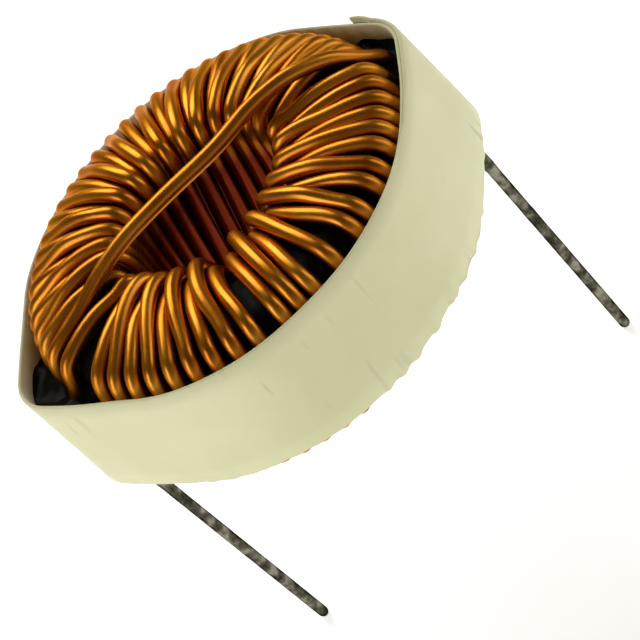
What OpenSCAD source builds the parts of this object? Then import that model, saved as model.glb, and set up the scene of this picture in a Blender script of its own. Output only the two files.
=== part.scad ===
// Toroidal power inductor: one enamelled wire wound round a coated ring core, with the
// last turn carried straight across the top to its own lead. A card band is wrapped
// round the winding and held by black adhesive where it runs out to each lead.
// The origin is on the board's surface, midway between the two leads. +X runs from
// the start lead to the end lead and +Z runs up, away from the board.

/* [Core] */
// Outside diameter of the coated ring core
core_od = 26.3; // [25.5:0.1:28]
// Diameter of the hole through the coated ring core
core_bore = 14.9; // [14.6:0.1:15.1]
// Height of the ring core
core_h = 9.2; // [8.5:0.1:10.5]
// Rounding of the core's edges
core_edge_r = 1.6; // [1.5:0.1:2.4]

/* [Winding] */
// Number of turns round the core
turns = 53; // [48:1:53]
// Diameter of the wire over its enamel
wire_d = 1.06; // [0.9:0.02:1.06]
// Radius of the wire's centreline round the core's outer edges
outer_bend_r = 1.8; // [1.8:0.1:2]
// Radius of the wire's centreline round the core's inner edges
inner_bend_r = 0.9; // [0.9:0.05:1.1]
// Height that the top run bows above the core
crown = 0.25; // [0:0.05:0.35]
// Angle round the ring that the inner leg gains on its way down
inner_twist = 24; // [18:1:26]
// Angle round the ring that the outer leg loses on its way up
outer_twist = 6; // [5:0.5:6]

/* [Leads] */
// Length of each lead below the board's surface
lead_len = 20.2; // [6:0.1:25]
// Diameter of the stripped wire
bare_d = 0.78; // [0.6:0.02:0.84]
// Diameter of the lead over its tin coat
tin_d = 0.86; // [0.7:0.02:0.92]
// Distance of the end lead out from the winding's outer legs, between axes
end_lead_out = 1.41; // [1.3:0.01:1.5]
// Distance of the start lead out from the outer legs at the board, between axes
start_lead_out = 0.95; // [0.85:0.01:1]
// Angle at which the start lead leans in below the board
start_lean = 2.75; // [0:0.25:3]

/* [Band] */
// How much narrower the band is than the core is high
band_short = 0.2; // [-0.5:0.05:2]
// Distance of the band's lower edge below the core's
band_drop = 0.18; // [-0.5:0.02:0.4]
// Thickness of the band's card
band_t = 0.35; // [0.3:0.05:0.4]
// Distance that each drawn-out end stands out from the round part of the band
tip_out = 1.82; // [1.75:0.01:2.2]
// Radius of the drawn-out ends, outside
band_tip_r = 1.5; // [1.3:0.1:1.8]
// Length of the second layer where the band's free end laps over
lap_len = 3.4; // [3:0.5:10]

/* [Adhesive] */
// Depth of the adhesive's top below the band's upper edge
fill_drop = 0.45; // [0.1:0.05:1.5]
// Depth of the adhesive
fill_depth = 6.5; // [3:0.5:8]

/* [Hidden] */
sides = 8;
// Air left between the wire and the core, and between neighbouring turns
lay_gap = 0.06;
turn_gap = 0.09;
// Air left round the winding inside the band, and round the adhesive
band_gap = 0.06;
fill_gap = 0.05;
wire_r = wire_d / 2;
// A raised turn rests on its neighbours at this distance between centrelines
nest = wire_d + turn_gap;
// The twist of the inner legs brings neighbours this much closer, as radius lost
twist_loss = 0.9;
ring_x = -0.45;
out_r = core_od / 2 + lay_gap + wire_r;
in_r = core_bore / 2 - lay_gap - wire_r;
out_bend_at = out_r - outer_bend_r;
in_bend_at = in_r + inner_bend_r;
// Bevel of the path at the foot of each outer leg
foot_cut = 0.75 * outer_bend_r;
// Angle that the twist takes up round each inner bend
rim_turn = 1.5;
// Where the turns stand, as [turn number, degrees round the ring], on the outside and
// along the inner rim, when there are 53 of them. Turns between two stations are evenly
// spaced.
stations_for = 53;
outer_stations = [[0, 191.5], [1, 206.5], [4, 226], [9, 257.5], [10, 266], [12, 276.3],
                  [13, 285], [14, 294.5], [15, 300], [16, 307.7], [17, 313.3],
                  [18, 320.3], [19, 326.2], [20, 331.7], [21, 338.2], [22, 345.3],
                  [23, 352.3], [24, 366.5], [29, 395.5], [53, 543]];
inner_stations = [[0, 190.5], [1, 200.5], [9, 251.5], [10, 262.5], [11, 271], [14, 291.5],
                  [17, 309], [22, 346.5], [23, 355], [24, 364], [29, 395.5], [35, 431.5],
                  [39, 457.5], [47, 505.5], [53, 539]];
// Even turns ride high before this turn, and odd turns from it on
swap_at = 10;
// The first turn past the crossing wire. From here on the turns share out the way left.
past_cross = 24;

function station(k) =
    k < past_cross ? k :
    past_cross + (k - past_cross) * (stations_for - past_cross) / (turns - past_cross);
function outer_angle(k) = lookup(station(k), outer_stations);
function inner_angle(k) = lookup(station(k), inner_stations);

// Angle of turn k along its top run and its bottom run. In both, s is 0 at the outer
// leg and 1 at the inner leg.
function top_angle(k, s) = (1 - s) * outer_angle(k) + s * inner_angle(k);
function low_angle(k, s) =
    (1 - s) * (outer_angle(k + 1) + outer_twist) + s * (inner_angle(k) + inner_twist);

// Height by which turn k rides over its neighbours at radius r: every second turn is
// pushed up wherever they leave it too little room.
function ride(k, r, step) =
    (k < swap_at) == (k % 2 == 1) ? 0 :
    sqrt(max(0, pow(nest, 2) - pow(r * step * PI / 180, 2)));
function top_step(k, s) = min(top_angle(k + 1, s) - top_angle(k, s),
                              k == 0 ? 90 : top_angle(k, s) - top_angle(k - 1, s));
function low_step(k, s) = min(k == turns - 1 ? 90 : low_angle(k + 1, s) - low_angle(k, s),
                              k == 0 ? 90 : low_angle(k, s) - low_angle(k - 1, s));
function top_ride(k, r, s) = ride(k, r, top_step(k, s));
function low_ride(k, r, s) = ride(k, r, low_step(k, s));

// The lowest turns touch the board, and the others hang this much above it
sag = max([for (k = [0 : turns - 1]) low_ride(k, in_bend_at, 0.9)]);
low_z = sag + wire_r;
core_z = low_z + wire_r + lay_gap;
top_z = core_z + core_h + lay_gap + wire_r;

// A point of the wire's centreline: its place, the angle that its side faces and the
// wire's radius there.
function spot(r, angle, z) =
    [ring_x + r * cos(angle), r * sin(angle), z, angle, wire_r];

// The outer leg and top run of turn k, up to the start of the inner bend
function up_and_over(k) =
    let (a = outer_angle(k),
         bend = outer_bend_r * cos(45),
         mid_r = (out_bend_at + in_bend_at) / 2)
    [spot(out_r, a, top_z - outer_bend_r),
     spot(out_bend_at + bend, a, top_z - outer_bend_r + bend),
     spot(out_bend_at, top_angle(k, 0.1), top_z + top_ride(k, out_bend_at, 0.1)),
     spot(mid_r, top_angle(k, 0.5), top_z + crown + top_ride(k, mid_r, 0.5)),
     spot(in_bend_at, top_angle(k, 0.9), top_z + top_ride(k, in_bend_at, 0.9))];

// The inner leg and bottom run of turn k, up to the foot of the next outer leg
function down_and_under(k) =
    let (a = inner_angle(k),
         rim_r = in_r - twist_loss,
         top_lift = top_ride(k, rim_r, 1),
         low_lift = low_ride(k, rim_r, 1),
         top_bend = (inner_bend_r + top_lift) * cos(45),
         low_bend = (inner_bend_r + low_lift) * cos(45),
         run_end = out_r - foot_cut,
         next = outer_angle(k + 1) + outer_twist)
    [spot(in_bend_at - top_bend, a, top_z - inner_bend_r + top_bend),
     spot(in_r - top_lift, a + rim_turn, top_z - inner_bend_r),
     spot(in_r - low_lift, a + inner_twist - rim_turn, low_z + inner_bend_r),
     spot(in_bend_at - low_bend, a + inner_twist, low_z + inner_bend_r - low_bend),
     spot(in_bend_at, low_angle(k, 0.9), low_z - low_ride(k, in_bend_at, 0.9)),
     spot(run_end, low_angle(k, 0.1), low_z - low_ride(k, run_end - 1, 0.1)),
     spot(out_r, next, low_z + foot_cut)];

// The leads are straight up to this height
straight_z = 1;
end_lead_x = ring_x + out_r + end_lead_out;
start_lead_x = out_r - ring_x + start_lead_out;

// The start lead's axis at height z
function start_x(z) = -start_lead_x - z * tan(start_lean);
function lead_spot(x, y, z, turned, radius) = [x, y, z, turned, radius];
strip_z = -0.4;
wire_end_z = 1 - lead_len;
// How the wire climbs from there to turn 0, in the corner between the winding and the
// band: shares of out_r outwards and sideways, share of top_z up, and the angle it faces
start_rise = [[1.0808, -0.0291, 0.273, 182],
              [1.0895, -0.0801, 0.4608, 186],
              [1.0575, -0.1528, 0.64, 191]];
start_path = concat(
    [lead_spot(start_x(wire_end_z), 0, wire_end_z, 180, bare_d / 2),
     lead_spot(start_x(strip_z), 0, strip_z, 180, bare_d / 2),
     lead_spot(start_x(strip_z + 0.1), 0, strip_z + 0.1, 180, wire_r),
     lead_spot(start_x(straight_z), 0, straight_z, 180, wire_r)],
    [for (p = start_rise)
        lead_spot(ring_x - p[0] * out_r, p[1] * out_r, p[2] * top_z, p[3], wire_r)]);
// How the last turn runs across the hole and over the far side of the ring to its lead,
// as shares of out_r along, and of wire_d aside and above the top run
cross_run = [[-0.8625, -0.613, 0],
             [-0.7169, -0.33, 0.4245],
             [-0.5495, -0.1415, 1.132],
             [-0.3675, 0, 1.6038],
             [-0.1128, 0, 1.7925],
             [0.2147, -0.0943, 1.8396],
             [0.4694, 0.4245, 1.8868],
             [0.655, 0.1604, 1.8679],
             [0.7351, 0.0943, 1.5849],
             [0.8079, 0.0472, 1.2075],
             [0.8821, 0, 0.6415],
             [0.9316, 0, -0.0189],
             [1.0007, 0, -1.0566],
             [1.0699, 0, -2]];
cross_path = concat(
    [for (p = cross_run) [ring_x + p[0] * out_r, p[1] * wire_d, top_z + p[2] * wire_d]],
    [[end_lead_x, 0, top_z - 3 * wire_d]]);
end_path = [
    lead_spot(end_lead_x, 0, straight_z, 540, wire_r),
    lead_spot(end_lead_x, 0, strip_z + 0.1, 540, wire_r),
    lead_spot(end_lead_x, 0, strip_z, 540, bare_d / 2),
    lead_spot(end_lead_x, 0, wire_end_z, 540, bare_d / 2)];
last_angle = outer_angle(turns);
last_leg = [
    spot(out_r, last_angle, top_z - outer_bend_r),
    spot(out_bend_at + outer_bend_r * cos(45), last_angle,
         top_z - outer_bend_r * (1 - cos(45)))];
wire_path = concat(
    start_path,
    [for (k = [0 : turns - 1]) each concat(up_and_over(k), down_and_under(k))],
    last_leg,
    [for (p = cross_path) lead_spot(p[0], p[1], p[2], 540, wire_r)],
    end_path);

// One ring of the swept wire, square to the path at point i
function place(p) = [p[0], p[1], p[2]];
function unit(v) = v / norm(v);
function heading(path, i) =
    let (last = len(path) - 1,
         a = place(path[max(i - 1, 0)]),
         b = place(path[i]),
         c = place(path[min(i + 1, last)]))
    i == 0 ? unit(c - b) : i == last ? unit(b - a) : unit(unit(b - a) + unit(c - b));
function ring(path, i) =
    let (p = path[i],
         along = heading(path, i),
         side = [-sin(p[3]), cos(p[3]), 0],
         across = unit(side - (side * along) * along),
         out = cross(across, along))
    [for (j = [0 : sides - 1])
        let (turn = (j + 0.5) * 360 / sides)
        place(p) + p[4] * (cos(turn) * out + sin(turn) * across)];

// A closed tube along a path, with flat ends
module tube(path) {
    rings = len(path);
    points = [for (i = [0 : rings - 1]) each ring(path, i)];
    walls = [for (i = [0 : rings - 2], j = [0 : sides - 1])
        let (a = i * sides + j,
             b = i * sides + (j + 1) % sides)
        each [[a, b + sides, b], [a, a + sides, b + sides]]];
    last = (rings - 1) * sides;
    caps = [for (j = [1 : sides - 2])
        each [[0, j, j + 1], [last, last + j + 1, last + j]]];
    polyhedron(points, concat(walls, caps));
}

// Outline of the band or of what fits inside it, where inset is the distance in from
// the band's outer face: an arc round the ring, drawn out to a rounded tip at each lead
band_r = out_r + wire_r + band_gap + band_t;
band_reach = band_r + tip_out;
band_h = core_h - band_short;
band_z = core_z - band_drop;
tip_at = band_reach - band_tip_r;
tip_turn = acos((band_r - band_tip_r) / tip_at);
// The tip at the end lead is lapped, and stands in by the thickness of the lap
end_tip_at = tip_at - band_t;
end_turn = acos((band_r - band_tip_r) / end_tip_at);
function arc_spot(x, r, a) = [x + r * cos(a), r * sin(a)];
function arc(x, r, from, to, steps) =
    [for (i = [0 : steps]) arc_spot(x, r, from + (to - from) * i / steps)];
function outline(inset) = concat(
    arc(end_tip_at, band_tip_r - inset, -end_turn, end_turn, 8),
    arc(0, band_r - inset, end_turn, 180 - tip_turn, 40),
    arc(-tip_at, band_tip_r - inset, 180 - tip_turn, 180 + tip_turn, 8),
    arc(0, band_r - inset, 180 + tip_turn, 360 - end_turn, 40));

module core() {
    inner = core_bore / 2;
    wall = core_od / 2 - inner;
    color("#1c1c1e")
    translate([ring_x, 0, core_z])
    rotate_extrude($fn = 180)
    union() {
        translate([inner + core_edge_r, 0])
        square([wall - 2 * core_edge_r, core_h]);
        translate([inner, core_edge_r])
        square([wall, core_h - 2 * core_edge_r]);
        for (x = [inner + core_edge_r, inner + wall - core_edge_r],
             y = [core_edge_r, core_h - core_edge_r])
            translate([x, y])
            circle(r = core_edge_r, $fn = 48);
    }
}

module winding() {
    color("#b06a1e")
    tube(wire_path);
}

// A place on the lap's straight back, this far along it from the rounded tip, on a face
// at radius r from the middle of the tip
function lap_spot(r, along) =
    arc_spot(end_tip_at, r, end_turn) + along * [-sin(end_turn), cos(end_turn)];

// The strip laps over itself from the front, where the two layers part, round the tip at
// the end lead. Its free end stands a little proud of the layer below.
module band() {
    outside = band_tip_r + band_t;
    inside = band_tip_r - band_t / 2;
    color("#d6d2ae")
    translate([ring_x, 0, band_z])
    union() {
        linear_extrude(band_h)
        union() {
            difference() {
                polygon(outline(0));
                polygon(outline(band_t));
            }
            polygon(concat(
                [arc_spot(0, band_r, -end_turn)],
                arc(end_tip_at, outside, -end_turn, end_turn, 8),
                [lap_spot(outside, lap_len), lap_spot(inside, lap_len)],
                arc(end_tip_at, inside, end_turn, -end_turn, 8),
                [arc_spot(0, band_r - band_t / 2, -end_turn)]));
        }
        linear_extrude(band_h + band_t)
        polygon([lap_spot(inside, 0), lap_spot(outside, 0), lap_spot(outside, lap_len),
                 lap_spot(inside, lap_len)]);
    }
}

// Where each fill ends along the band, as shares of out_r
start_fill = [-0.3785, 0.1164];
end_fill = [-0.3275, 0.0655];

// Adhesive between the winding and one drawn-out end of the band
module adhesive(side, span) {
    translate([0, 0, band_z + band_h - fill_drop - fill_depth])
    linear_extrude(fill_depth)
    intersection() {
        translate([ring_x, 0])
        difference() {
            polygon(outline(band_t + fill_gap));
            circle(r = out_r + wire_r + fill_gap, $fn = 180);
        }
        translate([side > 0 ? 0 : -2 * band_reach, span[0] * out_r])
        square([2 * band_reach, (span[1] - span[0]) * out_r]);
    }
}

// The space that the wire needs through the adhesive: a bore along each stretch of its
// path, run on past both ends so that the bores meet
module wire_way(points) {
    way_r = wire_r + fill_gap;
    run_on = 0.25;
    for (i = [0 : len(points) - 2]) {
        step = points[i + 1] - points[i];
        translate(points[i])
        rotate([0, acos(step[2] / norm(step)), atan2(step[1], step[0])])
        translate([0, 0, -run_on])
        cylinder(r = way_r, h = norm(step) + 2 * run_on, $fn = 32);
    }
}

module adhesive_start() {
    way = [for (i = [3 : len(start_path) - 1]) place(start_path[i])];
    color("#151513")
    difference() {
        adhesive(-1, start_fill);
        wire_way(concat(way, [place(spot(out_r, outer_angle(0), top_z - outer_bend_r))]));
    }
}

module adhesive_end() {
    color("#151513")
    difference() {
        adhesive(1, end_fill);
        wire_way([[end_lead_x, 0, straight_z], cross_path[14], cross_path[13],
                  cross_path[12]]);
    }
}

// The tin coat of a lead that starts at the origin and points down
module tin_coat() {
    reach = lead_len;
    color("#8f8f7c")
    difference() {
        union() {
            translate([0, 0, tin_d / 2 - reach])
            cylinder(d = tin_d, h = reach - tin_d / 2 + strip_z - 0.1, $fn = 48);
            translate([0, 0, tin_d / 2 - reach])
            sphere(d = tin_d, $fn = 48);
        }
        translate([0, 0, wire_end_z - 0.05])
        cylinder(d = bare_d + 0.01, h = lead_len, $fn = 48);
    }
}

module tin_start() {
    translate([-start_lead_x, 0, 0])
    rotate([0, -start_lean, 0])
    tin_coat();
}

module tin_end() {
    translate([end_lead_x, 0, 0])
    tin_coat();
}

core();
winding();
band();
adhesive_start();
adhesive_end();
tin_start();
tin_end();
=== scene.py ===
"""A toroidal power inductor for a circuit board: one enamelled copper wire wound round
a coated ring core, a card band round the winding with adhesive inside both of its tips,
and two tinned leads. Every piece is built in millimetres in the part's own frame, and
each mesh is made in metres."""
from math import acos, atan2, ceil, cos, degrees, pi, radians, sin, sqrt, tan

import bpy
import numpy as np
from mathutils import Matrix, Vector, noise


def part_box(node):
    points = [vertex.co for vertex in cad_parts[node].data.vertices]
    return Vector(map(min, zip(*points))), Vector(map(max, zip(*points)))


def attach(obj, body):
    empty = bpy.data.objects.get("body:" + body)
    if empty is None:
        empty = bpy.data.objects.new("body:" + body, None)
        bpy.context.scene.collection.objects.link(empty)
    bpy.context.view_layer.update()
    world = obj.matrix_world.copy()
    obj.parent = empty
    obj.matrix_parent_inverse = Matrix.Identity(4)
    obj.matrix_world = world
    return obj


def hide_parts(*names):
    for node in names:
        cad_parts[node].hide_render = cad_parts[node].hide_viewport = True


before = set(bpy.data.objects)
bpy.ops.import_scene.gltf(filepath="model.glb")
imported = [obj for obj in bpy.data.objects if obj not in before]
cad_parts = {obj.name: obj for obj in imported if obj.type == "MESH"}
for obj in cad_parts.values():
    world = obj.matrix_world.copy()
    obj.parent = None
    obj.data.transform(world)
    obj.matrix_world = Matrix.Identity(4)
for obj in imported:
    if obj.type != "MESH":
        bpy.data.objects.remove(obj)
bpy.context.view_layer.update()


# Ring core: pressed iron powder, sintered and then dipped in black epoxy, so its edges
# are round and its skin is glossy and a little lumpy. It shows only in the gaps between
# turns and round the hole.
core_low, core_high = [corner * 1000 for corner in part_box("core")]
core_x = (core_low.x + core_high.x) / 2
core_outer_r = (core_high.x - core_low.x) / 2
core_inner_r = 7.45
core_edge_r = 1.6


def mesh_piece(name, points, faces, uvs=None):
    """A smooth-shaded piece from points in millimetres, riding on the part."""
    mesh = bpy.data.meshes.new(name)
    mesh.from_pydata([Vector(p) * 0.001 for p in points], [], faces)
    if uvs is not None:
        layer = mesh.uv_layers.new(name="length")
        for loop in mesh.loops:
            layer.data[loop.index].uv = uvs[loop.index]
    mesh.shade_smooth()
    piece = bpy.data.objects.new(name, mesh)
    bpy.context.scene.collection.objects.link(piece)
    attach(piece, "root")
    return piece


def new_finish(name):
    """An empty node material: the material, its nodes, its links and its shader."""
    finish = bpy.data.materials.new(name)
    finish.use_nodes = True
    nodes, links = finish.node_tree.nodes, finish.node_tree.links
    return finish, nodes, links, nodes["Principled BSDF"]


def cloud(nodes, links, place, scale, detail=3.0, squeeze=None):
    """Noise at that scale per metre, over a coordinate socket."""
    if squeeze:
        stretched = nodes.new("ShaderNodeMapping")
        stretched.inputs["Scale"].default_value = squeeze
        links.new(place, stretched.inputs["Vector"])
        place = stretched.outputs["Vector"]
    pattern = nodes.new("ShaderNodeTexNoise")
    pattern.inputs["Scale"].default_value = scale
    pattern.inputs["Detail"].default_value = detail
    links.new(place, pattern.inputs["Vector"])
    return pattern.outputs["Fac"]


def ramp(nodes, links, value, stops):
    """Colours picked along a value, as [(position, (r, g, b))]."""
    picked = nodes.new("ShaderNodeValToRGB")
    marks = picked.color_ramp.elements
    while len(marks) < len(stops):
        marks.new(1.0)
    for mark, (position, colour) in zip(marks, stops):
        mark.position = position
        mark.color = (*colour, 1.0)
    links.new(value, picked.inputs["Fac"])
    return picked.outputs["Color"]


def spread(nodes, links, value, low, high, start=0.3, end=0.7):
    """A value's middle range stretched to run from low to high."""
    ranged = nodes.new("ShaderNodeMapRange")
    ranged.inputs["From Min"].default_value = start
    ranged.inputs["From Max"].default_value = end
    ranged.inputs["To Min"].default_value = low
    ranged.inputs["To Max"].default_value = high
    links.new(value, ranged.inputs["Value"])
    return ranged.outputs["Result"]


def relief(nodes, links, shader, value, height, strength=1.0):
    """Bumps of that height in metres on the shader."""
    bump = nodes.new("ShaderNodeBump")
    bump.inputs["Strength"].default_value = strength
    bump.inputs["Distance"].default_value = height
    links.new(value, bump.inputs["Height"])
    links.new(bump.outputs["Normal"], shader.inputs["Normal"])


def core_section():
    """The ring's section: a rectangle with round corners, as (radius, height)."""
    corners = [(core_outer_r, core_high.z, 90), (core_inner_r, core_high.z, 180),
               (core_inner_r, core_low.z, 270), (core_outer_r, core_low.z, 0)]
    section = []
    for r, z, start in corners:
        middle_r = r + (core_edge_r if r == core_inner_r else -core_edge_r)
        middle_z = z + (core_edge_r if z == core_low.z else -core_edge_r)
        first = {90: 0, 180: 90, 270: 180, 0: 270}[start]
        for step in range(9):
            turn = radians(first + step * 90 / 8)
            section.append((middle_r + core_edge_r * cos(turn),
                            middle_z + core_edge_r * sin(turn)))
    return section


section = core_section()
around = 160
points = [(core_x + r * cos(2 * pi * i / around), r * sin(2 * pi * i / around), z)
          for i in range(around) for r, z in section]
size = len(section)
faces = [(i * size + j, (i + 1) % around * size + j,
          (i + 1) % around * size + (j + 1) % size, i * size + (j + 1) % size)
         for i in range(around) for j in range(size)]
ring_core = mesh_piece("ring_core", points, faces)
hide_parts("core")

coating, nodes, links, shader = new_finish("black_core_coating")
place = nodes.new("ShaderNodeTexCoord").outputs["Object"]
dust = cloud(nodes, links, place, 900)
links.new(ramp(nodes, links, dust, [(0.35, (0.002, 0.002, 0.002)), (0.75, (0.006, 0.005, 0.004))]),
          shader.inputs["Base Color"])
links.new(spread(nodes, links, dust, 0.5, 0.7), shader.inputs["Roughness"])
shader.inputs["Specular IOR Level"].default_value = 0.06
relief(nodes, links, shader, cloud(nodes, links, place, 1400), 0.00008)
ring_core.data.materials.append(coating)


# Winding: one length of enamelled copper wire, threaded 53 times through the ring. Its
# last turn is pulled straight across the top to the far lead. Where the hole is too tight
# for the turns to lie side by side, every second one rides up on the others.
wire_d = 1.06
wire_r = wire_d / 2
turns = 53
lay_gap, turn_gap = 0.06, 0.09
nest = wire_d + turn_gap
outer_bend_r, inner_bend_r = 1.8, 0.9
crown, crown_wander, side_wander = 0.25, 0.4, 0.5
inner_twist, outer_twist = 24, 6
# The lean of the inner legs crowds them as if the hole were this much tighter, and takes
# up some degrees round each inner bend
twist_loss, rim_turn = 0.9, 1.5
out_r = core_outer_r + lay_gap + wire_r
in_r = core_inner_r - lay_gap - wire_r
out_bend_at = out_r - outer_bend_r
in_bend_at = in_r + inner_bend_r
low_z = core_low.z - lay_gap - wire_r
top_z = core_high.z + lay_gap + wire_r
foot_cut = 0.5
foot_z = low_z + foot_cut
# Where the turns stand, as (turn number, degrees round the ring)
outer_stations = [(0, 191.5), (1, 206.5), (4, 226), (9, 257.5), (10, 266), (12, 276.3),
                  (13, 285), (14, 294.5), (15, 300), (16, 307.7), (17, 313.3),
                  (18, 320.3), (19, 326.2), (20, 331.7), (21, 338.2), (22, 345.3),
                  (23, 352.3), (24, 366.5), (29, 395.5), (53, 543)]
inner_stations = [(0, 190.5), (1, 200.5), (9, 251.5), (10, 262.5), (11, 271), (14, 291.5),
                  (17, 309), (22, 346.5), (23, 355), (24, 364), (29, 395.5), (35, 431.5),
                  (39, 457.5), (47, 505.5), (53, 539)]
# Even turns ride high before this turn, and odd turns from it on
swap_at = 10


def between(stations, k):
    """Angle of turn k, evenly spaced between the stations on both sides of it."""
    return float(np.interp(k, *zip(*stations)))


def top_angle(k, s):
    """Angle of turn k on the top, from the outer leg at s 0 to the inner leg at s 1."""
    return (1 - s) * between(outer_stations, k) + s * between(inner_stations, k)


def low_angle(k, s):
    """The same on the underside, from the foot of the next outer leg."""
    return ((1 - s) * (between(outer_stations, k + 1) + outer_twist)
            + s * (between(inner_stations, k) + inner_twist))


def ride(k, r, angle, s):
    """How far turn k is pushed off its neighbours at radius r."""
    if (k < swap_at) == (k % 2 == 1):
        return 0.0
    room = min(angle(k + 1, s) - angle(k, s) if k < turns - 1 else 90,
               angle(k, s) - angle(k - 1, s) if k else 90)
    return sqrt(max(0.0, nest ** 2 - (r * radians(room)) ** 2))


def polar(r, angle, z):
    """A place at that radius and angle round the ring's own axis."""
    return core_x + r * cos(radians(angle)), r * sin(radians(angle)), z


def wander(k, channel):
    """A small fixed irregularity of turn k, from -1 to 1."""
    return sin(k * 2.399 + channel * 1.7) * 0.6 + sin(k * 5.13 + channel * 4.1) * 0.4


def leg(r_a, angle_a, z_a, r_b, angle_b, z_b):
    """A straight leg from one height to another, with a spot close to each end."""
    near = 0.9 / abs(z_b - z_a)
    return [polar(r_a + (r_b - r_a) * t, angle_a + (angle_b - angle_a) * t,
                  z_a + (z_b - z_a) * t) for t in (0, near, 0.35, 0.65, 1 - near, 1)]


def turn_spots(k):
    """Turn k's centreline, from the top of its outer leg to the top of the next."""
    outer, inner = between(outer_stations, k), between(inner_stations, k)
    bend = outer_bend_r * cos(pi / 4)
    mid_r = (out_bend_at + in_bend_at) / 2
    rim_r = in_r - twist_loss
    high, low = ride(k, rim_r, top_angle, 1), ride(k, rim_r, low_angle, 1)
    high_bend = (inner_bend_r + high) * cos(pi / 4)
    low_bend = (inner_bend_r + low) * cos(pi / 4)
    next_foot = between(outer_stations, k + 1) + outer_twist
    run_end = out_r - foot_cut
    return [
        polar(out_bend_at + bend, outer, top_z - outer_bend_r + bend),
        polar(out_bend_at, top_angle(k, 0.1), top_z + ride(k, out_bend_at, top_angle, 0.1)),
        polar(mid_r, top_angle(k, 0.5) + side_wander * wander(k, 2),
              top_z + crown * (1 + crown_wander * wander(k, 1))
              + ride(k, mid_r, top_angle, 0.5)),
        polar(in_bend_at, top_angle(k, 0.9), top_z + ride(k, in_bend_at, top_angle, 0.9)),
        polar(in_bend_at - high_bend, inner, top_z - inner_bend_r + high_bend),
        *leg(in_r - high, inner + rim_turn, top_z - inner_bend_r,
             in_r - low, inner + inner_twist - rim_turn, low_z + inner_bend_r),
        polar(in_bend_at - low_bend, inner + inner_twist, low_z + inner_bend_r - low_bend),
        polar(in_bend_at, low_angle(k, 0.9), low_z - ride(k, in_bend_at, low_angle, 0.9)),
        polar((in_bend_at + run_end) / 2, low_angle(k, 0.5),
              low_z - ride(k, mid_r, low_angle, 0.5)),
        polar(run_end, low_angle(k, 0.1), low_z - ride(k, run_end - 1, low_angle, 0.1)),
        *leg(out_r, next_foot, foot_z,
             out_r, between(outer_stations, k + 1), top_z - outer_bend_r)]


def curve_through(places, step=0.12):
    """A smooth curve through some places, sampled at about that step."""
    places = np.array(places, float)
    ends = 2 * places[[0, -1]] - places[[1, -2]]
    places = np.concatenate([ends[:1], places, ends[1:]])
    knots = np.concatenate([[0], np.cumsum(
        np.sqrt(np.linalg.norm(np.diff(places, axis=0), axis=1)))])
    curve = []
    for i in range(1, len(places) - 2):
        a, b, c, d = places[i - 1:i + 3]
        ka, kb, kc, kd = knots[i - 1:i + 3]
        count = max(1, ceil(np.linalg.norm(c - b) / step))
        for t in np.linspace(kb, kc, count, endpoint=False):
            ab = ((kb - t) * a + (t - ka) * b) / (kb - ka)
            bc = ((kc - t) * b + (t - kb) * c) / (kc - kb)
            cd = ((kd - t) * c + (t - kc) * d) / (kd - kc)
            abc = ((kc - t) * ab + (t - ka) * bc) / (kc - ka)
            bcd = ((kd - t) * bc + (t - kb) * cd) / (kd - kb)
            curve.append(((kc - t) * abc + (t - kb) * bcd) / (kc - kb))
    return np.array(curve + [places[-2]])


start_lead_x, end_lead_x = -15.14, 14.7
start_lean = radians(2.75)
lead_end_z = -19.2


def start_lead(z):
    """The start lead's axis at that height: it leans in on its way down."""
    return start_lead_x - z * tan(start_lean), 0.0, z


last_angle = between(outer_stations, turns)
bend_lift = outer_bend_r * (1 - cos(pi / 4))
# Up the start lead and inside the band to the first turn
spots = [start_lead(z) for z in (lead_end_z, -15, -10, -5, -2, -0.5)]
spots += [(-15.18, -0.15, 0.8), (-15.25, -0.38, 2), (-15.32, -0.7, 3.6),
          (-15.32, -1.4, 5.6), (-14.95, -2.25, 7.5),
          polar(out_r, between(outer_stations, 0), top_z - outer_bend_r)]
for k in range(turns):
    spots += turn_spots(k)
# The last turn rises over the ring, crosses the hole and goes down to the end lead
spots += [polar(out_r - bend_lift, last_angle, top_z - bend_lift),
          (-12.3, -0.65, top_z), (-10.3, -0.35, top_z + 0.45), (-8, -0.15, top_z + 1.2),
          (-5.5, 0, top_z + 1.7), (-2, 0, top_z + 1.9), (2.5, -0.1, top_z + 1.95),
          (6, 0.45, top_z + 2), (8.55, 0.17, top_z + 1.98), (9.65, 0.1, top_z + 1.68),
          (10.65, 0.05, top_z + 1.28), (11.67, 0, top_z + 0.68), (12.35, 0, top_z - 0.02),
          (13.25, 0.15, top_z - 1.12), (14.1, 0.35, top_z - 2.12), (14.52, 0.45, top_z - 3.3),
          (14.58, 0.45, 7), (14.58, 0.45, 5), (14.6, 0.42, 2.4), (14.66, 0.18, 0.9)]
spots += [(end_lead_x, 0, z) for z in (-0.5, -2, -5, -10, -15, lead_end_z)]
rough_path = curve_through(spots)


def evenly(path, step):
    """The path again, with points the same distance apart."""
    reach = np.concatenate([[0], np.cumsum(np.linalg.norm(np.diff(path, axis=0), axis=1))])
    stops = np.linspace(0, reach[-1], ceil(reach[-1] / step))
    return np.stack([np.interp(stops, reach, path[:, axis]) for axis in range(3)], axis=1)


def eased(path, reach):
    """The path with its corners eased over that many points each way."""
    weights = np.exp(-0.5 * (np.arange(-3 * reach, 3 * reach + 1) / reach) ** 2)
    weights /= weights.sum()
    padded = np.concatenate([path[:1]] * (3 * reach) + [path] + [path[-1:]] * (3 * reach))
    return np.stack([np.convolve(padded[:, axis], weights, "valid") for axis in range(3)],
                    axis=1)


wire_path = eased(evenly(rough_path, 0.12), 2)


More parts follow.
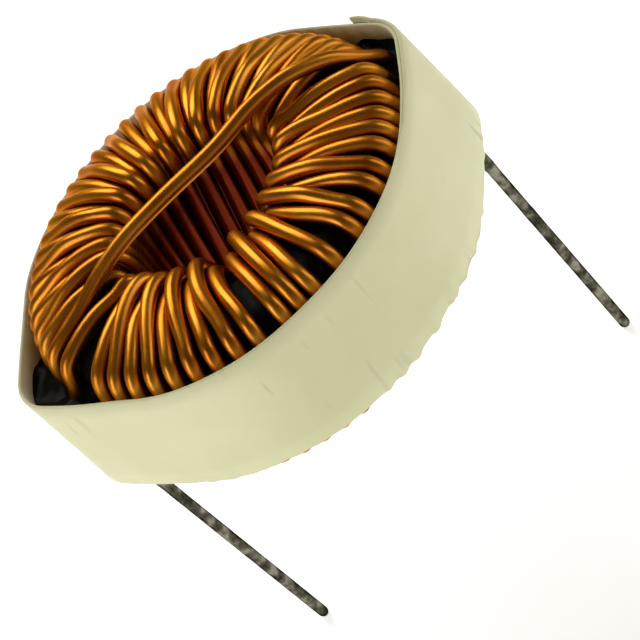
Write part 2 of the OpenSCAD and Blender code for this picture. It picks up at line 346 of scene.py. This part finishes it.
def ring_stops(path, longest=1.4, sharpest=11.0):
    """Which points of the path get a ring: closer together where it bends."""
    steps = np.diff(path, axis=0)
    lengths = np.linalg.norm(steps, axis=1)
    ways = steps / lengths[:, None]
    bends = np.degrees(np.arccos(np.clip((ways[1:] * ways[:-1]).sum(axis=1), -1, 1)))
    spent = np.concatenate([[0], lengths / longest])
    spent[1:-1] += bends / sharpest
    return np.searchsorted(np.cumsum(spent), np.arange(int(spent.sum()) + 1))


def tube(path, radii, sides=14):
    """Points, faces and (round, along) coordinates of a tube with closed ends, with a
    radius for each point of its path."""
    across, reach, points, marks = None, 0.0, [], []
    for i, p in enumerate(path):
        way = path[min(i + 1, len(path) - 1)] - path[max(i - 1, 0)]
        way = way / np.linalg.norm(way)
        if across is None:
            across = np.cross(way, (0.3, 0.2, 0.9) if abs(way[2]) < 0.9 else (1, 0, 0))
        across = across - across.dot(way) * way
        across /= np.linalg.norm(across)
        up = np.cross(way, across)
        if i:
            reach += np.linalg.norm(p - path[i - 1])
        for j in range(sides):
            turn = 2 * pi * j / sides
            points.append(p + radii[i] * (cos(turn) * across + sin(turn) * up))
        marks.append(reach)
    faces, uvs = [], []
    for i in range(len(path) - 1):
        for j in range(sides):
            k = (j + 1) % sides
            faces.append((i * sides + j, i * sides + k,
                          (i + 1) * sides + k, (i + 1) * sides + j))
            left, right = j / sides, (j + 1) / sides
            uvs += [(left, marks[i] / 10), (right, marks[i] / 10),
                    (right, marks[i + 1] / 10), (left, marks[i + 1] / 10)]
    last = (len(path) - 1) * sides
    faces += [tuple(range(sides - 1, -1, -1)), tuple(range(last, last + sides))]
    uvs += [(0.5, 0)] * sides + [(0.5, marks[-1] / 10)] * sides
    return points, faces, uvs


# Below the band the wire is stripped, and thins from its enamelled size to bare copper
strip_heights, strip_radii = (-0.6, -0.5, 0.4, 1.1), (0.34, 0.37, 0.39, wire_r)
wire_rings = wire_path[ring_stops(wire_path)]
points, faces, uvs = tube(wire_rings, np.interp(wire_rings[:, 2], strip_heights, strip_radii))
winding = mesh_piece("copper_winding", points, faces, uvs)
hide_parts("winding")

enamel, nodes, links, shader = new_finish("enamelled_copper")
place = nodes.new("ShaderNodeTexCoord")
along_wire = place.outputs["UV"]
tint = cloud(nodes, links, along_wire, 1.3)
copper = ramp(nodes, links, tint, [(0.3, (0.45, 0.130, 0.008)), (0.5, (0.54, 0.195, 0.014)),
                                   (0.7, (0.64, 0.265, 0.026))])
# Painted shade: the wire's colour is darkened where it runs inside the hole and below the top of
# the ring, standing in for the deep shade down the hole
from_axis = nodes.new("ShaderNodeVectorMath")
from_axis.operation = "DISTANCE"
from_axis.inputs[1].default_value = (core_x / 1000, 0, 0)
flattened = nodes.new("ShaderNodeMapping")
flattened.inputs["Scale"].default_value = (1, 1, 0)
links.new(place.outputs["Object"], flattened.inputs["Vector"])
links.new(flattened.outputs["Vector"], from_axis.inputs[0])
height = nodes.new("ShaderNodeSeparateXYZ")
links.new(place.outputs["Object"], height.inputs["Vector"])
hole_shade_mask = nodes.new("ShaderNodeMath")
hole_shade_mask.operation = "MULTIPLY"
hole_shade_mask.use_clamp = True
links.new(spread(nodes, links, from_axis.outputs["Value"], 1, 0, 0.0070, 0.0084), hole_shade_mask.inputs[0])
links.new(spread(nodes, links, height.outputs["Z"], 1, 0, 0.0090, 0.0118), hole_shade_mask.inputs[1])
# Painted shade: the copper colour is multiplied towards a dark red inside the hole
painted_hole_shade = nodes.new("ShaderNodeMix")
painted_hole_shade.data_type = "RGBA"
painted_hole_shade.blend_type = "MULTIPLY"
links.new(hole_shade_mask.outputs["Value"], painted_hole_shade.inputs[0])
links.new(copper, painted_hole_shade.inputs[6])
painted_hole_shade.inputs[7].default_value = (0.27, 0.075, 0.05, 1)
links.new(painted_hole_shade.outputs[2], shader.inputs["Base Color"])
shader.inputs["Metallic"].default_value = 1.0
links.new(spread(nodes, links, cloud(nodes, links, along_wire, 2.1), 0.28, 0.4),
          shader.inputs["Roughness"])
shader.inputs["Specular Tint"].default_value = (0.95, 0.55, 0.25, 1)
shader.inputs["Coat Weight"].default_value = 0.12
shader.inputs["Coat Roughness"].default_value = 0.15
shader.inputs["Coat IOR"].default_value = 1.45
relief(nodes, links, shader, cloud(nodes, links, place.outputs["Object"], 500, 2.0), 0.00004)
winding.data.materials.append(enamel)


# Card band: a strip of thin pale fibre card wrapped round the winding, drawn out to a
# rounded tip at each lead. It laps over itself from the front, round the tip at the end
# lead, and its free end stands a little proud of the layer below.
band_low, band_high = [corner * 1000 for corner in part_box("band")]
band_t = 0.35
band_gap = 0.06
band_z = band_low.z + 0.2
band_h = band_high.z - band_z - band_t
band_r = out_r + wire_r + band_gap + band_t
tip_r = 4
start_way, start_at = 184.2, 16.68 - tip_r
end_way, end_at = 2.2, 16.2 - tip_r
lap_len = 1.6
lap_parting = 30
lap_bite = 0.03
free_end_lift = 0.1
card_t = 0.26
end_lean = 0.45
dent_height, dent_width, dent_lean = 1.2, 1.7, 0.3


def arc(x, y, r, start, end, steps):
    """Spots round an arc, each with the angle that the strip faces there."""
    angles = [radians(start + (end - start) * i / steps) for i in range(steps + 1)]
    return [(x + r * cos(a), y + r * sin(a), a) for a in angles]


def tip(way, at, steps):
    """A drawn-out tip, from where the strip leaves the ring to where it is back on it."""
    turn = degrees(acos((band_r - tip_r) / at))
    return arc(at * cos(radians(way)), at * sin(radians(way)), tip_r, way - turn, way + turn,
               steps)


def bowed(a, b, steps, bow=0.08):
    """Spots from one to another that face the same way, without the two themselves. The
    card springs outwards a little between them."""
    line = []
    for i in range(1, steps):
        part = i / steps
        out = bow * sin(pi * part)
        line.append((a[0] + (b[0] - a[0]) * part + out * cos(a[2]),
                     a[1] + (b[1] - a[1]) * part + out * sin(a[2]), a[2]))
    return line


start_tip, end_tip = tip(start_way, start_at, 16), tip(end_way, end_at, 16)


def band_line():
    """The band's outer face seen from above."""
    back = arc(0, 0, band_r, degrees(end_tip[-1][2]), degrees(start_tip[0][2]), 240)
    front = arc(0, 0, band_r, degrees(start_tip[-1][2]), 360 + degrees(end_tip[0][2]), 240)
    line = []
    for a, b in ((end_tip, back), (back, start_tip), (start_tip, front), (front, end_tip)):
        line += a + bowed(a[-1], (*b[0][:2], a[-1][2]), 8)
    return line


def strip_section(inner, outer, low, high, edge=0.1):
    """A thin strip's section with eased edges, as (offset outwards, height)."""
    rows = 7
    out_face = [(outer, low + edge + (high - low - 2 * edge) * i / rows)
                for i in range(rows + 1)]
    in_face = [(inner, z) for _, z in reversed(out_face)]
    return ([(outer - edge, low)] + out_face + [(outer - edge, high)]
            + [(inner + edge, high)] + in_face + [(inner + edge, low)])


def strip_wave(x, y, z):
    """The card's slight waviness, outwards in millimetres."""
    a = atan2(y, x)
    return 0.05 * sin(3 * a + 0.8) + 0.035 * sin(7 * a + 0.3 * z) + 0.02 * sin(13 * a)


def flare(x, z):
    """How far the card leans out at the tip at the end lead, most at its lower edge."""
    near_tip = min(1.0, max(0.0, (x - 9) / 6))
    return end_lean * near_tip ** 2 * (1 - (z - band_z) / band_h)


feet = np.array([between(outer_stations, k + 1) + outer_twist for k in range(turns)])


def foot_dent(x, y, z):
    """How far the foot of a turn pushes the card's lower edge down and outwards."""
    a = degrees(atan2(y, x))
    aside = np.abs((a - feet + 180) % 360 - 180).min()
    edge = max(0.0, 1 - (z - band_z) / dent_height) ** 2
    on_ring = min(1.0, max(0.0, 1.5 - 2 * (np.hypot(x, y) - band_r)))
    deep = np.interp(a % 360, (0, 90, 180, 264, 277), (0.2, 0.05, 0.15, 0.02, 0.2))
    return deep * edge * on_ring * np.exp(-(aside / dent_width) ** 2)


def strip(line, sections, closed):
    """Points and faces of a strip swept along a line, with a section for each of its
    spots. It is closed round onto itself, or else its two ends are capped."""
    points, faces = [], []
    for (x, y, a), section in zip(line, sections):
        for offset, z in section:
            dent = foot_dent(x, y, z)
            far = offset + strip_wave(x, y, z) + flare(x, z) + dent_lean * dent
            points.append((core_x + x + far * cos(a), y + far * sin(a), z - dent))
    size = len(sections[0])
    count = len(line)
    for i in range(count if closed else count - 1):
        for j in range(size):
            a, b = i * size + j, i * size + (j + 1) % size
            c, d = (i + 1) % count * size + (j + 1) % size, (i + 1) % count * size + j
            faces.append((a, d, c, b))
    if not closed:
        faces += [tuple(range(size)), tuple(range(count * size - 1, (count - 1) * size - 1, -1))]
    return points, faces


line = band_line()
section = strip_section(-card_t, 0, band_z, band_z + band_h)
band_points, band_faces = strip(line, [section] * len(line), True)

# The lap parts from the layer below before the tip, goes round it and ends beyond it
x, y, a = end_tip[-1]
free_end = (x - lap_len * sin(a) + free_end_lift * cos(a),
            y + lap_len * cos(a) + free_end_lift * sin(a), a)
leaves = degrees(end_tip[0][2])
parting = arc(0, 0, band_r, leaves - lap_parting, leaves, 12)
parting += bowed(parting[-1], end_tip[0], 8)
lap = parting + end_tip + bowed(end_tip[-1], free_end, 6, 0.12) + [free_end]
rise, over = len(parting), len(end_tip)
lap_sections = []
for i in range(len(lap)):
    part = min(1.0, i / rise)
    out = -lap_bite + (card_t + lap_bite) * part * part * (3 - 2 * part)
    past_tip = i - rise - over / 2
    up = band_t * min(1.0, max(0.0, past_tip / (len(lap) - 1 - rise - over / 2)))
    sink = lap_bite * (1 - part)
    lap_sections.append(strip_section(0.01 - 4 * sink, out, band_z + sink,
                                      band_z + band_h + up - sink))
lap_points, lap_faces = strip(lap, lap_sections, False)
count = len(band_points)
band = mesh_piece("card_band", band_points + lap_points,
                  band_faces + [tuple(i + count for i in face) for face in lap_faces])
sharpen = band.modifiers.new("crisp edges", "EDGE_SPLIT")
sharpen.split_angle = radians(50)
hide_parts("band")


def card_finish(name, dark, light):
    """Card mottled between two colours, with faint upright scuffs in patches."""
    card, nodes, links, shader = new_finish(name)
    place = nodes.new("ShaderNodeTexCoord").outputs["Object"]
    mottle = cloud(nodes, links, place, 120, 4.0)
    scratch = ramp(nodes, links, cloud(nodes, links, place, 1100, 1.0, squeeze=(1, 1, 0.12)),
                   [(0.6, (0, 0, 0)), (0.7, (1, 1, 1))])
    where = spread(nodes, links, cloud(nodes, links, place, 210, 1.0), 0, 0.45, 0.52, 0.62)
    amount = nodes.new("ShaderNodeMath")
    amount.operation = "MULTIPLY"
    links.new(scratch, amount.inputs[0])
    links.new(where, amount.inputs[1])
    scuffed = nodes.new("ShaderNodeMix")
    scuffed.data_type = "RGBA"
    links.new(amount.outputs["Value"], scuffed.inputs[0])
    links.new(ramp(nodes, links, mottle, [(0.3, dark), (0.7, light)]), scuffed.inputs[6])
    scuffed.inputs[7].default_value = (0.36, 0.34, 0.25, 1)
    links.new(scuffed.outputs[2], shader.inputs["Base Color"])
    links.new(spread(nodes, links, cloud(nodes, links, place, 700), 0.42, 0.6),
              shader.inputs["Roughness"])
    shader.inputs["Specular IOR Level"].default_value = 0.4
    relief(nodes, links, shader, cloud(nodes, links, place, 2500, 2.0), 0.00002, 0.4)
    return card


# Painted light: the strip's inner face is given a lighter colour than its outer face, to brighten
# it in the shade inside the band
band.data.materials.append(card_finish("pale_fibre_card", (0.70, 0.70, 0.41), (0.775, 0.78, 0.50)))
band.data.materials.append(card_finish("card_inner_painted_light", (0.80, 0.78, 0.50), (0.86, 0.84, 0.58)))
# The inner rows of faces take the lighter card, as painted light
inner_rows = range(len(section) // 2, len(section) - 1)
for i, face in enumerate(band.data.polygons):
    if i % len(section) in inner_rows:
        face.material_index = 1


# Adhesive: black epoxy run into both corners between the winding and the band, where the
# wire turns down to its lead. It set with a glossy, uneven skin that climbs the card and
# creeps in between the turns.
creep_in = 0.35
card_climb, turn_climb = 0.3, 0.5
end_drop = 1.5


def adhesive_pool(name, start, end, level, depth, seed):
    """A pool of adhesive inside the band, from one angle round the ring to another."""
    steps, rows = 60, 18
    to_wall = card_t - 0.02
    card = [Vector((x - to_wall * cos(a), y - to_wall * sin(a))) for x, y, a in band_line()]
    pool = []
    for i in range(steps + 1):
        angle = start + (end - start) * i / steps
        way = Vector((cos(radians(angle)), sin(radians(angle))))
        for a, b in zip(card, card[1:] + card[:1]):
            side_a, side_b = way.cross(a), way.cross(b)
            if side_a <= 0 < side_b and way.dot(a) > 0:
                wall = way.dot(a.lerp(b, -side_a / (side_b - side_a)))
        inner = out_r - creep_in
        for j in range(rows + 1):
            part = j / rows
            r = inner + (wall - inner) * part
            x, y = core_x + r * way.x, r * way.y
            lumps = noise.noise(Vector((x * 0.45, y * 0.45, seed))) * 0.3
            lumps += noise.noise(Vector((x * 1.1, y * 1.1, seed + 5))) * 0.05
            climb = card_climb * part ** 6 + turn_climb * (1 - part) ** 4
            fade = min(1.0, i / 9, (steps - i) / 9)
            pool.append((x, y, level + lumps + climb - (1 - sqrt(fade)) * end_drop))
    size = rows + 1
    count = len(pool)
    faces = [(i * size + j, i * size + j + 1, (i + 1) * size + j + 1, (i + 1) * size + j)
             for i in range(steps) for j in range(rows)]
    bottom = [(x, y, level - depth) for x, y, z in pool]
    faces += [tuple(count + v for v in reversed(face)) for face in faces]
    rim = ([j for j in range(rows)]
           + [i * size + rows for i in range(steps)]
           + [steps * size + j for j in range(rows, 0, -1)]
           + [i * size for i in range(steps, 0, -1)])
    faces += [(a, count + a, count + b, b) for a, b in zip(rim, rim[1:] + rim[:1])]
    return mesh_piece(name, pool + bottom, faces)


epoxy, nodes, links, shader = new_finish("black_epoxy")
place = nodes.new("ShaderNodeTexCoord").outputs["Object"]
haze = cloud(nodes, links, place, 420)
links.new(ramp(nodes, links, haze, [(0.35, (0.002, 0.002, 0.002)), (0.7, (0.006, 0.006, 0.004))]),
          shader.inputs["Base Color"])
links.new(spread(nodes, links, haze, 0.14, 0.28), shader.inputs["Roughness"])
shader.inputs["Specular IOR Level"].default_value = 0.014
relief(nodes, links, shader, cloud(nodes, links, place, 400, 2.0), 0.00005, 0.5)
start_pool = adhesive_pool("start_adhesive", 163, 207, 9.3, 4.9, 3.1)
end_pool = adhesive_pool("end_adhesive", -19, 20, 9.2, 4.8, 8.4)
for pool, node in ((start_pool, "adhesive_start"), (end_pool, "adhesive_end")):
    pool.data.materials.append(epoxy)
    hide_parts(node)


# Leads: both ends of the wire are stripped of their enamel under the band and dipped in
# solder, which sets in a thin, slightly lumpy grey coat with a rounded tip. The upper end
# of the dip is a thin wash on the wire itself.
tin_r = 0.4
tin_top = -0.5
tip_z = -20.2
wash_top = 0.9
ripple = 0.018
bead_height, bead_width, bead_at = 0.035, 0.5, 1.1


def tinned_lead(name, top, tip, seed):
    """The solder coat round a lead, with a bead near its top and a rounded tip."""
    way = np.array(tip) - np.array(top)
    length = np.linalg.norm(way)
    way /= length
    stops = sorted([0, 0.02, 0.08, 0.2] + [0.5 * i for i in range(1, int(length / 0.5))]
                   + [length - tin_r * (1 - sin(radians(a))) for a in (0, 18, 36, 54, 70, 84)])

    def coat(at):
        end = length - at
        lump = ripple * noise.noise(Vector((at * 0.8, seed, 0)))
        lump += bead_height * np.exp(-((at - bead_at - seed * 0.1) / bead_width) ** 2)
        round_off = sqrt(max(0.0004, 1 - max(0.0, 1 - end / tin_r) ** 2))
        return (tin_r - 0.02 + lump) * round_off

    line = np.array([np.array(top) + way * s for s in stops])
    points, faces, uvs = tube(line, [coat(s) for s in stops], 20)
    return mesh_piece(name, points, faces, uvs)


tin, nodes, links, shader = new_finish("solder_coat")
place = nodes.new("ShaderNodeTexCoord").outputs["Object"]
grain = cloud(nodes, links, place, 1300, 5.0)
links.new(ramp(nodes, links, grain, [(0.36, (0.035, 0.033, 0.022)), (0.5, (0.10, 0.096, 0.07)),
                                     (0.64, (0.28, 0.27, 0.21))]),
          shader.inputs["Base Color"])
shader.inputs["Metallic"].default_value = 1.0
shader.inputs["Specular Tint"].default_value = (0.15, 0.15, 0.13, 1)
links.new(spread(nodes, links, grain, 0.25, 0.42), shader.inputs["Roughness"])
relief(nodes, links, shader, cloud(nodes, links, place, 1500, 3.0), 0.00006, 0.7)
start_tin = tinned_lead("start_lead_tin", start_lead(tin_top), start_lead(tip_z + 0.02), 1.0)
end_tin = tinned_lead("end_lead_tin", (end_lead_x, 0, tin_top), (end_lead_x, 0, tip_z), 4.0)
for lead, node in ((start_tin, "tin_start"), (end_tin, "tin_end")):
    lead.data.materials.append(tin)
    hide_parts(node)
winding.data.materials.append(tin)
for face in winding.data.polygons:
    if face.center.z < wash_top / 1000:
        face.material_index = 1


# Floor, lights and camera: a white floor at the tips of the leads that glows like a lit
# table, a broad soft light overhead, and a sky that is white low down and dim above.
floor_half = 1.5
floor_mesh = bpy.data.meshes.new("floor")
floor_mesh.from_pydata([(x * floor_half, y * floor_half, tip_z * 0.001) for x, y in
                        ((-1, -1), (1, -1), (1, 1), (-1, 1))], [], [(0, 1, 2, 3)])
floor = bpy.data.objects.new("floor", floor_mesh)
bpy.context.scene.collection.objects.link(floor)
paper, nodes, links, shader = new_finish("white_paper")
place = nodes.new("ShaderNodeTexCoord").outputs["Object"]
links.new(ramp(nodes, links, cloud(nodes, links, place, 3), [(0.3, (0.93, 0.93, 0.92)),
                                                            (0.7, (0.95, 0.95, 0.94))]),
          shader.inputs["Base Color"])
shader.inputs["Roughness"].default_value = 0.9
shader.inputs["Emission Color"].default_value = (1, 1, 1, 1)
shader.inputs["Emission Strength"].default_value = 0.6
floor_mesh.materials.append(paper)


def soft_light(name, place, aim, width, height, watts, colour=(1, 1, 1)):
    lamp = bpy.data.lights.new(name, "AREA")
    lamp.shape = "RECTANGLE"
    lamp.size, lamp.size_y = width, height
    lamp.energy = watts
    lamp.color = colour
    light = bpy.data.objects.new(name, lamp)
    light.location = place
    light.rotation_euler = (Vector(aim) - Vector(place)).to_track_quat("-Z", "Y").to_euler()
    bpy.context.scene.collection.objects.link(light)
    return light


soft_light("key", (0.03, 0.31, 0.34), (0, 0, 0), 0.32, 0.26, 1.1)
soft_light("left", (-0.39, -0.12, 0.19), (0, 0, 0), 0.2, 0.35, 0.62)
soft_light("right", (0.39, -0.10, 0.19), (0, 0, 0), 0.2, 0.35, 0.37)

world = bpy.data.worlds.new("studio")
bpy.context.scene.world = world
world.use_nodes = True
nodes, links = world.node_tree.nodes, world.node_tree.links
ways = nodes.new("ShaderNodeSeparateXYZ")
links.new(nodes.new("ShaderNodeTexCoord").outputs["Generated"], ways.inputs["Vector"])
sky = ramp(nodes, links, ways.outputs["Z"],
           [(0.0, (0.65, 0.65, 0.65)), (0.12, (0.44, 0.43, 0.41)), (0.4, (0.17, 0.145, 0.105)),
            (0.75, (0.11, 0.087, 0.055))])
links.new(sky, nodes["Background"].inputs["Color"])
nodes["Background"].inputs["Strength"].default_value = 1.0
bpy.context.scene.view_settings.view_transform = "Standard"

eye = Vector((0.001773, -0.146949, 0.107267))
ahead = Vector((-0.011019, 0.803626, -0.595033))
up = Vector((0.693522, 0.434826, 0.574415))
right = ahead.cross(up)
camera = bpy.data.objects.new("camera", bpy.data.cameras.new("camera"))
camera.data.lens = 157.5
camera.data.sensor_width = 36
camera.data.clip_start = 0.01
camera.matrix_world = Matrix.Translation(eye) @ Matrix((right, up, -ahead)).transposed().to_4x4()
bpy.context.scene.collection.objects.link(camera)
bpy.context.scene.camera = camera
